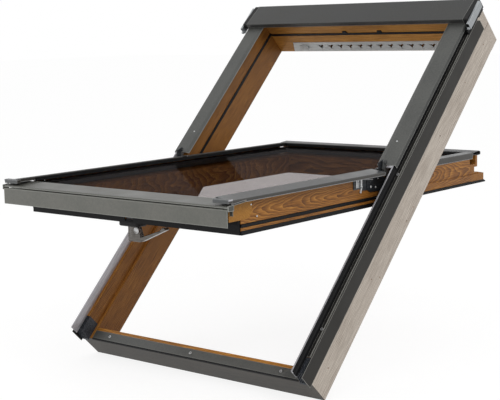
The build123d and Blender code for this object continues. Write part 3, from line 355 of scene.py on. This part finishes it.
def float_glass(name, tint, lighter_tint, mirror_ior):
    material, tree = new_material(name)
    place = add_node(tree, "TexCoord")
    haze = add_node(tree, "TexNoise", {"Scale": 1 / HAZE, "Detail": 2.0}, {"Vector": (place, "Object")})
    tone = add_node(tree, "ValToRGB", links={"Fac": (haze, "Fac")}, stops=((0.3, tint), (0.7, lighter_tint)))
    through = add_node(tree, "BsdfTransparent", links={"Color": (tone, "Color")})
    shine = add_node(tree, "BsdfGlossy", {"Roughness": 0.02, "Color": linear(MIRROR)})
    # Only the face that looks at the eye mirrors
    angle = add_node(tree, "Fresnel", {"IOR": mirror_ior})
    side = add_node(tree, "NewGeometry")
    front = add_node(tree, "Math", {"operation": "SUBTRACT", 0: 1.0}, {1: (side, "Backfacing")})
    share = add_node(tree, "Math", {"operation": "MULTIPLY"}, {0: (angle, 0), 1: (front, 0)})
    both = add_node(tree, "MixShader", links={0: (share, 0), 1: (through, 0), 2: (shine, 0)})
    add_node(tree, "OutputMaterial", links={"Surface": (both, 0)})
    return material


# Wood tones, each from the pale spring wood to the dark late wood
PINE_SASH = ("#b8803a", "#935f25", "#5c3512")
PINE_UPPER = ("#b07a38", "#8c5b26", "#5c3917")
# Lighter copy of the sides' pine for the ledges that face out of the room: painted light
PINE_UPPER_PAINTED_LIGHT = ("#d39a52", "#b17838", "#8a5726")
# The head's tones are lighter than the other pine's: painted light that makes up for the shade on its front
# face
PINE_HEAD_PAINTED_LIGHT = ("#f0b45c", "#cc8f42", "#966430")
PINE_SILL = ("#d2964a", "#b0762f", "#7d4f20")
PINE_END = ("#c08a3c", "#a5712a", "#7f521c")
PINE_BARE = ("#d9d0c4", "#c0b5a9", "#94877b")
PINE_LOWER_END = ("#4e473c", "#3b362e", "#27231e")
PINE_GLUED = ("#5d3a30", "#4a2c25", "#35201b")

# Where the boards lie in their trunks, in metres from the heart, which sets how the rings are cut
SIDE_CUT = (0, 0, 0.3)
HEAD_CUT = (0, -1.05, 0.12)
SILL_CUT = (0, 0.1, 0.05)
SASH_SIDE_CUT = (-0.3325, 0, -0.473)
SASH_RAIL_CUT = (0, 0.2, -0.36)

frame_side_pine = lacquered_pine(
    "lacquered_pine_frame_sides",
    UP_FRAME,
    SIDE_CUT,
    PINE_UPPER,
    lean=0.01,
    painted_light=PINE_UPPER_PAINTED_LIGHT,
    bare=PINE_BARE,
    lower_end=PINE_LOWER_END,
)
head_pine = lacquered_pine("lacquered_pine_head", ACROSS_FRAME, HEAD_CUT, PINE_HEAD_PAINTED_LIGHT, bare=PINE_BARE)
sill_pine = lacquered_pine("lacquered_pine_sill", ACROSS_FRAME, SILL_CUT, PINE_SILL, lower_end=PINE_LOWER_END)
sash_side_pine = lacquered_pine(
    "lacquered_pine_sash_sides",
    ALONG_SASH,
    SASH_SIDE_CUT,
    PINE_SASH,
    lean=0.091,
)
sash_rail_pine = lacquered_pine("lacquered_pine_sash_rails", ACROSS_SASH, SASH_RAIL_CUT, PINE_SASH)
glue_line = lacquered_pine("dark_glue_line", UP_FRAME, SIDE_CUT, PINE_GLUED)
end_grain_pine = lacquered_pine("lacquered_pine_end_grain", ACROSS_SASH, SASH_RAIL_CUT, PINE_END)

# Sheets: the coat's two tones, a painted highlight along its folds and painted shade on faces that look
# sideways
frame_sheet = coated_sheet("coated_aluminium_frame_covers", "#484947", "#565754", "#989995", "#3c3d3b")
hood_sheet = coated_sheet("coated_aluminium_hood", "#2e2f2f", "#3a3a38", "#8a8b87", "#2b2b2b")
cap_sheet = coated_sheet("coated_aluminium_sash_cap", "#4d4e49", "#595853", "#a3a49e", "#44453f")
sash_sheet = coated_sheet("coated_aluminium_sash_front", "#61625c", "#6d6c66", "#8f908a", "#55564f")
side_cover_sheet = coated_sheet(
    "coated_aluminium_sash_sides",
    "#484a4b",
    "#585a5b",
    "#a0a1a2",
    "#34312d",
    roughness=0.34,
)
top_cover_sheet = coated_sheet("coated_aluminium_sash_top", "#343536", "#434446", "#6d6e70", "#343536")
band_sheet = coated_sheet(
    "coated_aluminium_side_band",
    "#262523",
    "#302f2d",
    "#8a8984",
    "#25231f",
    gloss=0.25,
)
profile_sheet = coated_sheet("coated_aluminium_sill_profile", "#4f504e", "#5a5b58", "#7c7d79", "#454644")

# Metals: the two tones, the way they were drawn, their roughness and how metallic they look
rib_metal = drawn_metal("extruded_aluminium_rib", "#a4a4a7", "#c6c4ca", UP_FRAME, 0.36, 0.35)
vent_metal = drawn_metal("perforated_aluminium_strip", "#c4c7c6", "#dcdedd", ACROSS_FRAME, 0.45, 0.2)
zinc_metal = drawn_metal("zinc_coated_steel_channel", "#8d9194", "#b5b9bb", UP_FRAME, 0.5, 0.4)
fitting_steel = drawn_metal("zinc_plated_steel_fittings", "#b2b3b4", "#dadbdb", ALONG_SASH, 0.36, 0.5)
brake_steel = drawn_metal("dull_brake_steel", "#45484a", "#66696b", ALONG_SASH, 0.42, 0.6)
lever_metal = drawn_metal("satin_steel_lever", "#4d4a47", "#77736f", ACROSS_SASH, 0.25, 0.85)
hinge_steel = drawn_metal("dark_hinge_steel", "#1d1f22", "#383b40", ALONG_SASH, 0.42, 0.5)
bracket_steel = drawn_metal("grey_bracket_steel", "#4c4d4d", "#626363", UP_FRAME, 0.45, 0.4)
spacer_metal = drawn_metal("dark_glass_spacer", "#1d1d1e", "#2b2b2c", ALONG_SASH, 0.5, 0.5)

# Rubber and plastic: the two tones, the roughness and the grain
rubber = moulding("black_rubber_gasket", "#070708", "#131315", 0.62, FINE_GRAIN)
plastic = moulding("black_moulded_plastic", "#0d0d0e", "#1c1c1d", 0.45, FINE_GRAIN)
corner_plastic = moulding("grey_blue_moulded_plastic", "#33363b", "#565a61", 0.45, COARSE_GRAIN)
knob_plastic = moulding("light_grey_moulded_plastic", "#cdd0cf", "#e2e5e4", 0.45, COARSE_GRAIN)

# Each pane tints what is seen through it twice, once at each face
outer_glass = float_glass("float_glass_outer", "#dfdddd", "#e3e1e0", mirror_ior=1.03)
inner_glass = float_glass("float_glass_inner", "#ebe9e9", "#eeecec", mirror_ior=1.01)

FINISHES = {
    frame_side_pine: ("frame_stile_left", "frame_stile_right"),
    head_pine: ("frame_head",),
    sill_pine: ("frame_sill",),
    sash_side_pine: ("sash_stile_left", "sash_stile_right"),
    sash_rail_pine: ("sash_rail_top", "sash_rail_bottom"),
    frame_sheet: ("frame_cover_left", "frame_cover_right"),
    hood_sheet: ("hood",),
    cap_sheet: ("bottom_cap", "cap_clips"),
    sash_sheet: ("apron",),
    side_cover_sheet: (
        "sash_cover_low_left",
        "sash_cover_low_right",
        "sash_cover_high_left",
        "sash_cover_high_right",
    ),
    top_cover_sheet: ("sash_cover_top",),
    band_sheet: ("side_band_left", "side_band_right"),
    profile_sheet: ("sill_profile",),
    rib_metal: ("upstand_left", "upstand_right"),
    vent_metal: ("vent_grille", "vent_shutter"),
    knob_plastic: ("vent_knob",),
    zinc_metal: ("hood_flange_left", "hood_flange_right"),
    fitting_steel: ("strike_plate", "profile_screws"),
    brake_steel: ("brake_plate_left", "brake_plate_right"),
    hinge_steel: ("hinge_plate_left", "hinge_plate_right", "latch_bolt"),
    bracket_steel: ("hinge_bracket_left", "hinge_bracket_right", "hinge_pins"),
    lever_metal: ("handle_lever",),
    rubber: (
        "frame_seal",
        "sill_seal",
        "upstand_seal_left",
        "upstand_seal_right",
        "glazing_seal",
        "lip_seal",
        "sash_seal_left",
        "sash_seal_right",
    ),
    plastic: ("hood_cap_left", "hood_cap_right", "head_clips", "handle_base"),
    corner_plastic: ("corner_block_left", "corner_block_right"),
    spacer_metal: ("glass_spacer",),
    outer_glass: ("pane_outer",),
    inner_glass: ("pane_inner",),
}
for finish, nodes in FINISHES.items():
    for node in nodes:
        for held in frame["nodes"][node].material_slots:
            held.material = finish


def add_block(mesh, place, low, high, turn=0.0):
    """A block between two corners in the place's millimetres, turned round the axis across the window."""
    low, high = Vector(low), Vector(high)
    stand = Matrix.Translation((low + high) / 2) @ Matrix.Rotation(turn, 4, "X")
    matrix = place @ stand @ Matrix.Diagonal((*(high - low), 1))
    return bmesh.ops.create_cube(mesh, size=1, matrix=matrix)["verts"]


HEAD_SIDES = 20
HEAD_TOP = 0.78  # a head's upper radius and the width of its rim, as shares of its radius
HEAD_RIM = 0.3


def add_head(mesh, place, foot, axis, radius, rise, recess=0.0):
    """A rivet or screw head that stands on foot along axis, with a dished recess where one is given."""
    turn = Vector(axis).to_track_quat("Z", "Y").to_matrix().to_4x4()
    made = bmesh.ops.create_cone(
        mesh,
        cap_ends=True,
        segments=HEAD_SIDES,
        radius1=radius,
        radius2=radius * HEAD_TOP,
        depth=rise,
        matrix=place @ Matrix.Translation(foot) @ turn @ Matrix.Translation((0, 0, rise / 2)),
    )
    if recess:
        out = (place.to_3x3() @ Vector(axis)).normalized()
        faces = {face for vert in made["verts"] for face in vert.link_faces}
        top = max(faces, key=lambda face: face.calc_center_median().dot(out))
        bmesh.ops.inset_region(mesh, faces=[top], thickness=radius * HEAD_RIM * MM)
        bmesh.ops.translate(mesh, verts=top.verts, vec=out * -recess * MM)


SHARP = 0.7  # radians between the two faces of an edge that gets rounded


def finish_piece(name, mesh, body, finish, edge):
    """Rounds the sharp edges by edge mm, and makes the mesh a piece that rides on a body."""
    if edge:
        bmesh.ops.bevel(
            mesh,
            geom=[crease for crease in mesh.edges if crease.calc_face_angle(0) > SHARP],
            offset=edge * MM,
            segments=2,
            profile=0.5,
            affect="EDGES",
            material=-1,
            clamp_overlap=True,
        )
    bmesh.ops.recalc_face_normals(mesh, faces=mesh.faces)
    data = bpy.data.meshes.new(name)
    mesh.to_mesh(data)
    mesh.free()
    data.materials.append(finish)
    piece = bpy.data.objects.new(name, data)
    bpy.context.scene.collection.objects.link(piece)
    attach(piece, body)


# Faces that the small fittings stand on, in millimetres. Across: the bare timber flank, the sash's flank and
# the brake and hinge plates on it. Out of the room: the side band, the screws' heads and the side cover.
TIMBER_FLANK = 389
SASH_FLANK = 345
BRAKE_FACE = 348.4
HINGE_FACE = 349.2
BAND_FACE = 119
SILL_SCREW_TOP, BAND_SCREW_TOP = 79.9, 120.9
COVER_FACE = 145
SUNK = 0.2  # how deep the foot of a rivet or nail is let in
BEDDED = 0.1  # how deep a plate or foot beds in

RIB_LOW, RIB_HIGH = -9, 1094  # the rib's two ends, up the slope
HINGE_RIVETS = ((-58, 51, 3.4), (-37, 48, 3.0), (-27, 69, 2.4))  # along the sash, up, and radius
NAILS = ((-526.5, 63.7), (-506.4, 35.2))
RIDGES = ((-123.5, -118.0), (-114.5, -111.5), (-104.5, -98.0))
SPRING_TURNS, SPRING_PITCH, SPRING_FALL = 8, 4.6, 0.5
TONGUE_ROUND = 22
HANDS = (("left", -1), ("right", 1))

# Small fittings in mirrored pairs, on the left and the right of the window
for side, hand in HANDS:
    # Black lip that covers the outer face of the bright rib up to its folded top, and the foot below it
    lip = bmesh.new()
    add_block(lip, ON_FRAME, (hand * 372.8, RIB_LOW, 133.5), (hand * 375.4, RIB_HIGH, 142.2))
    add_block(lip, ON_FRAME, (hand * 374.9, RIB_LOW, 119.1), (hand * 376.0, RIB_HIGH, 121.8))
    finish_piece("rib_lip_" + side, lip, "frame", rubber, edge=0.4)

    # Bright tab that turns in from the rib at the pivot
    tab = bmesh.new()
    add_block(tab, ON_FRAME, (hand * 356, 597, 142.0), (hand * 372.5, 603, 144.6))
    finish_piece("rib_tab_" + side, tab, "frame", rib_metal, edge=0.4)

    # Ridges of the brake plate on the sash's flank, and the rod that runs down from it
    ridges = bmesh.new()
    for low, high in RIDGES:
        add_block(ridges, ON_SASH, (hand * (BRAKE_FACE - BEDDED), low, 54), (hand * 350.4, high, 76.5))
    rod_low = (hand * (SASH_FLANK - BEDDED), -101, 39)
    add_block(ridges, ON_SASH, rod_low, (hand * 348.2, -96, 58), turn=radians(-20))
    finish_piece("brake_ridges_" + side, ridges, "sash", fitting_steel, edge=0.6)

    # Spring of the pivot brake: turns of wire in a row that falls a little towards the pivot
    spring = bmesh.new()
    for turn in range(SPRING_TURNS):
        foot = (hand * 347.6, -84 + turn * SPRING_PITCH, 72.5 - turn * SPRING_FALL)
        add_head(spring, ON_SASH, foot, axis=(0, 1, 0), radius=2.4, rise=2.6)
    finish_piece("brake_spring_" + side, spring, "sash", fitting_steel, edge=0.5)

    # Plate behind the spring, and the arm under it
    carrier = bmesh.new()
    add_block(carrier, ON_SASH, (hand * SASH_FLANK, -92, 44), (hand * 346.4, -66, 78))
    add_block(carrier, ON_SASH, (hand * 345.2, -66, 61), (hand * 349.8, -50, 65))
    finish_piece("brake_carrier_" + side, carrier, "sash", hinge_steel, edge=0.3)

    # Rivets through the hinge plate
    rivets = bmesh.new()
    for along, height, radius in HINGE_RIVETS:
        foot = (hand * (HINGE_FACE - SUNK), along, height)
        add_head(rivets, ON_SASH, foot, axis=(hand, 0, 0), radius=radius, rise=0.8, recess=0.3)
    finish_piece("hinge_rivets_" + side, rivets, "sash", fitting_steel, edge=0.2)

    # Two nails in the sash's flank near its lower end
    nails = bmesh.new()
    for along, height in NAILS:
        foot = (hand * (SASH_FLANK - SUNK), along, height)
        add_head(nails, ON_SASH, foot, axis=(hand, 0, 0), radius=2.6, rise=1.2)
    finish_piece("sash_nails_" + side, nails, "sash", fitting_steel, edge=0.4)

    # Rivet on the face of each side cover of the frame
    rivet = bmesh.new()
    foot = (hand * 350, 683, COVER_FACE - SUNK)
    add_head(rivet, ON_FRAME, foot, axis=(0, 0, 1), radius=2.6, rise=1.2, recess=0.5)
    finish_piece("cover_rivet_" + side, rivet, "frame", fitting_steel, edge=0.3)

    # Folded corner where the side cover meets the lower cap, and a bright strip along its outer front edge
    # that is a painted highlight
    corner = bmesh.new()
    add_block(corner, ON_SASH, (hand * 323, -632, 78.4), (hand * 370.6, -618, 88.6))
    finish_piece("corner_fold_" + side, corner, "sash", side_cover_sheet, edge=2.0)
    highlight_strip = bmesh.new()
    add_block(highlight_strip, ON_SASH, (hand * 369.4, -632.4, 84.5), (hand * 371.2, -618.2, 88.2))
    finish_piece("corner_highlight_strip_" + side, highlight_strip, "sash", rib_metal, edge=0.8)

    # Rolled lower end of the zinc channel
    curl = bmesh.new()
    foot = (hand * 392.2, 1085, 142)
    add_head(curl, ON_FRAME, foot, axis=(hand, 0, 0), radius=4.2, rise=6.4, recess=2.5)
    finish_piece("channel_curl_" + side, curl, "frame", zinc_metal, edge=0.5)

    # Black rubber foot under the hood's end cap
    pad = bmesh.new()
    pad_low = (hand * 375.6, 1084, BAND_FACE - BEDDED)
    add_block(pad, ON_FRAME, pad_low, (hand * 388, 1116, 134))
    finish_piece("hood_foot_" + side, pad, "frame", rubber, edge=1.0)

    # End grain of the lower rail's tongue, let into the sash's flank, with its inner lower corner rounded
    cheek = bmesh.new()
    cheek_low = (hand * (SASH_FLANK - 0.6), -604, 33)
    verts = add_block(cheek, ON_SASH, cheek_low, (hand * (SASH_FLANK + 0.5), -523.5, 77))
    middle = sum((vert.co for vert in verts), Vector()) / len(verts)
    inner = [vert for vert in verts if vert.co.y > middle.y and vert.co.z < middle.z]
    bmesh.ops.bevel(
        cheek,
        geom=[crease for crease in inner[0].link_edges if crease.other_vert(inner[0]) in inner],
        offset=TONGUE_ROUND * MM,
        segments=8,
        profile=0.5,
        affect="EDGES",
        material=-1,
    )
    finish_piece("rail_tongue_end_" + side, cheek, "sash", end_grain_pine, edge=0.3)

# Glue line where the head's end meets the side on the bare flank
for side, hand in HANDS:
    joint = bmesh.new()
    joint_low = (hand * (TIMBER_FLANK - 0.6), 1150.4, 68.0)
    add_block(joint, ON_FRAME, joint_low, (hand * (TIMBER_FLANK + 0.1), 1179.6, 69.4))
    finish_piece("head_joint_" + side, joint, "frame", glue_line, edge=0)

# Black lip under the latch bolt
latch_lip = bmesh.new()
add_block(latch_lip, ON_SASH, (-14, -563.8, -1), (14, -562.4, 7.4))
finish_piece("latch_lip", latch_lip, "sash", rubber, edge=0.3)

# Bright round button in the heel of the handle's lever
button = bmesh.new()
add_head(button, ON_SASH, (2.5, -544.8, -22), axis=(0, -1, 0), radius=8.6, rise=1.8, recess=2.4)
finish_piece("handle_button", button, "handle", fitting_steel, edge=0.4)

# Black disc on each screw head of the sill profile and of the side bands: painted shade in its recess
SCREWS = [(x, 15.5, SILL_SCREW_TOP) for x in (-292, 0, 292)]
SCREWS += [(x, along, BAND_SCREW_TOP) for x in (-380, 380) for along in (124, 596)]
recess_shade = bmesh.new()
for across, along, top in SCREWS:
    add_head(recess_shade, ON_FRAME, (across, along, top - BEDDED), axis=(0, 0, 1), radius=1.7, rise=0.3)
finish_piece("screw_recess_shade", recess_shade, "frame", plastic, edge=0)

# Camera at the photograph's viewing angle
CAMERA_PLACE = Vector((2.0721, -2.3097, 0.8683))
CAMERA_YAW, CAMERA_PITCH, CAMERA_ROLL = radians(39.62), radians(-7.92), radians(1.23)
CAMERA_LENS = 88.91
level = Vector((cos(CAMERA_YAW), sin(CAMERA_YAW), 0))
forward = Vector((-sin(CAMERA_YAW), cos(CAMERA_YAW), 0)) * cos(CAMERA_PITCH)
forward.z = sin(CAMERA_PITCH)
below = forward.cross(level)
right = cos(CAMERA_ROLL) * level + sin(CAMERA_ROLL) * below
down = -sin(CAMERA_ROLL) * level + cos(CAMERA_ROLL) * below
camera_data = bpy.data.cameras.new("camera")
camera_data.sensor_width = 36
camera_data.lens = CAMERA_LENS
camera_data.clip_end = 100
camera = bpy.data.objects.new("camera", camera_data)
bpy.context.scene.collection.objects.link(camera)
camera_axes = Matrix((right, -down, -forward)).transposed().to_4x4()
camera.matrix_world = Matrix.Translation(CAMERA_PLACE) @ camera_axes
bpy.context.scene.camera = camera


def looked_at(tree):
    """1 for rays that show the background itself: from the camera, off a gloss or through the glass."""
    ray = add_node(tree, "LightPath")
    seen = (ray, "Is Camera Ray")
    for kind in ("Is Transmission Ray", "Is Glossy Ray"):
        seen = (add_node(tree, "Math", {"operation": "MAXIMUM"}, {0: seen, 1: (ray, kind)}), 0)
    return seen


# Plain pale floor: white to the camera, with a faint soft shadow, and a pale matt floor as light
WHITE = (1, 1, 1, 1)
FLOOR_AS_LIGHT, FLOOR_SEEN, FLOOR_GLOW = 0.78, 0.24, 0.84
floor_mesh = bmesh.new()
bmesh.ops.create_grid(floor_mesh, x_segments=1, y_segments=1, size=30)
bmesh.ops.translate(floor_mesh, verts=floor_mesh.verts, vec=(0, 0, cad_low.z))
floor_data = bpy.data.meshes.new("floor")
floor_mesh.to_mesh(floor_data)
floor_mesh.free()
floor = bpy.data.objects.new("floor", floor_data)
bpy.context.scene.collection.objects.link(floor)
floor_paint, tree = new_material("pale_floor")
seen = looked_at(tree)
grey = add_node(tree, "MapRange", {"To Min": FLOOR_AS_LIGHT, "To Max": FLOOR_SEEN}, {"Value": seen})
own_light = add_node(tree, "Math", {"operation": "MULTIPLY", 1: FLOOR_GLOW}, {0: seen})
matt = add_node(tree, "BsdfDiffuse", links={"Color": (grey, 0)})
glow = add_node(tree, "Emission", {"Color": WHITE}, {"Strength": (own_light, 0)})
mixed = add_node(tree, "AddShader", links={0: (matt, 0), 1: (glow, 0)})
add_node(tree, "OutputMaterial", links={"Surface": (mixed, 0)})
floor_data.materials.append(floor_paint)

# White surroundings, a little dimmer as light than as a background
SKY_AS_LIGHT = 0.62
world = bpy.data.worlds.new("studio")
bpy.context.scene.world = world
world.use_nodes = True
tree = world.node_tree
tree.nodes.clear()
light = add_node(tree, "MapRange", {"To Min": SKY_AS_LIGHT, "To Max": 1.0}, {"Value": looked_at(tree)})
sky = add_node(tree, "Background", {"Color": WHITE}, {"Strength": (light, "Result")})
add_node(tree, "OutputWorld", links={"Surface": (sky, 0)})


MIDDLE = (cad_low + cad_high) / 2


# Soft square lamps that look at the window's middle, sized in metres with their power in watts
def soft_lamp(name, place, size, power):
    lamp = bpy.data.lights.new(name, "AREA")
    lamp.size = size
    lamp.energy = power
    holder = bpy.data.objects.new(name, lamp)
    bpy.context.scene.collection.objects.link(holder)
    holder.location = place
    holder.rotation_mode = "QUATERNION"
    holder.rotation_quaternion = (MIDDLE - Vector(place)).to_track_quat("-Z", "Y")


soft_lamp("key_lamp", (3.2, -1.2, 2.9), size=1.6, power=44)
soft_lamp("fill_lamp", (-2.6, -2.6, 1.6), size=2.4, power=24)

bpy.context.scene.view_settings.view_transform = "Standard"
